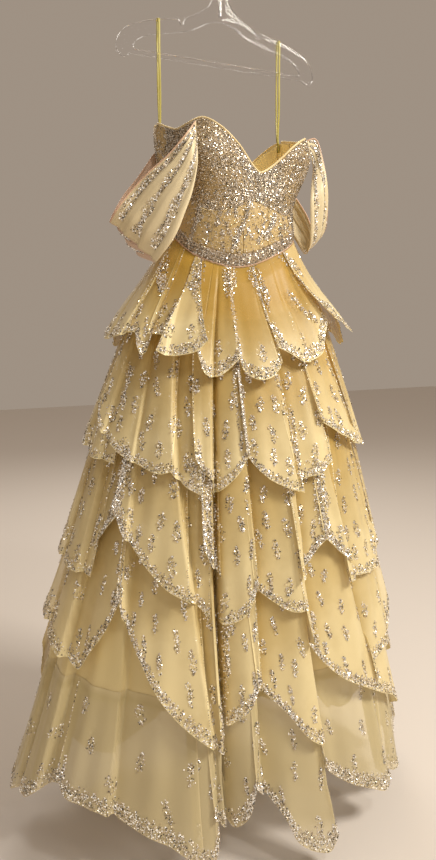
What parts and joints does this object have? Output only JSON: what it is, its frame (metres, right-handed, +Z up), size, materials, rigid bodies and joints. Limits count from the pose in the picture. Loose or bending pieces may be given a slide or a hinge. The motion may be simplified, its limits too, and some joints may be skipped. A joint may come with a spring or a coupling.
{
  "type": "a-line evening dress on a clear hanger",
  "caption": "Long strapless A-line evening dress with a sweetheart bodice, draped off-shoulder sleeves and tiers of beaded organza petals, hung by ribbon loops on a clear hanger.",
  "frame": {"origin": "inside top of the hanger's hook, where it hangs on a rail", "axes": "+Z up, the dress faces -Y, the wearer's left side is at +X"},
  "size_m": [0.8064, 0.4991, 1.6323],
  "materials": {
    "organza": "sheer butter-yellow organza with sequins",
    "beaded": "densely sequinned net",
    "mesh": "pale yellow net with sequins over satin",
    "satin": "golden satin lining",
    "binding": "rolled satin binding",
    "ribbon": "narrow olive satin ribbon",
    "clear": "clear moulded plastic",
    "chrome": "bright metal"
  },
  "bodies": {
    "dress_and_hanger": {"binding_back_left": "binding", "binding_back_right": "binding", "binding_front": "binding", "bodice_back_left": "mesh", "bodice_back_right": "mesh", "bodice_front_centre": "mesh", "bodice_front_left": "mesh", "bodice_front_right": "mesh", "bodice_side_left": "mesh", "bodice_side_right": "mesh", "cup_left": "beaded", "cup_right": "beaded", "hanger_body": "clear", "hanger_hook": "chrome", "hanger_loop_left": "ribbon", "hanger_loop_right": "ribbon", "lining_back_left": "satin", "lining_back_right": "satin", "lining_gore1": "satin", "lining_gore2": "satin", "lining_gore3": "satin", "lining_gore4": "satin", "lining_gore5": "satin", "sleeve_left_back": "organza", "sleeve_left_front": "organza", "sleeve_right_back": "organza", "sleeve_right_front": "organza", "tier1_panel1": "organza", "tier1_panel2": "organza", "tier1_panel3": "organza", "tier1_panel4": "organza", "tier1_panel5": "organza", "tier2_panel1": "organza", "tier2_panel2": "organza", "tier2_panel3": "organza", "tier2_panel4": "organza", "tier2_panel5": "organza", "tier3_panel1": "organza", "tier3_panel2": "organza", "tier3_panel3": "organza", "tier3_panel4": "organza", "tier3_panel5": "organza", "tier4_panel1": "organza", "tier4_panel2": "organza", "tier4_panel3": "organza", "tier4_panel4": "organza", "tier4_panel5": "organza", "tier5_panel1": "organza", "tier5_panel2": "organza", "tier5_panel3": "organza", "tier5_panel4": "organza", "tier5_panel5": "organza", "waistband_back_left": "beaded", "waistband_back_right": "beaded", "waistband_front": "beaded", "zip_slider": "chrome", "zip_tape": "satin"},
    "zip_pull": {"zip_pull": "chrome"}
  },
  "joints": [
    {"name": "zip_pull_swing", "type": "hinge", "parent": "dress_and_hanger", "child": "zip_pull", "pos_m": [0, 0.1072, -0.35175], "axis": [1, 0, 0], "range_deg": [0, 150]}
  ]
}
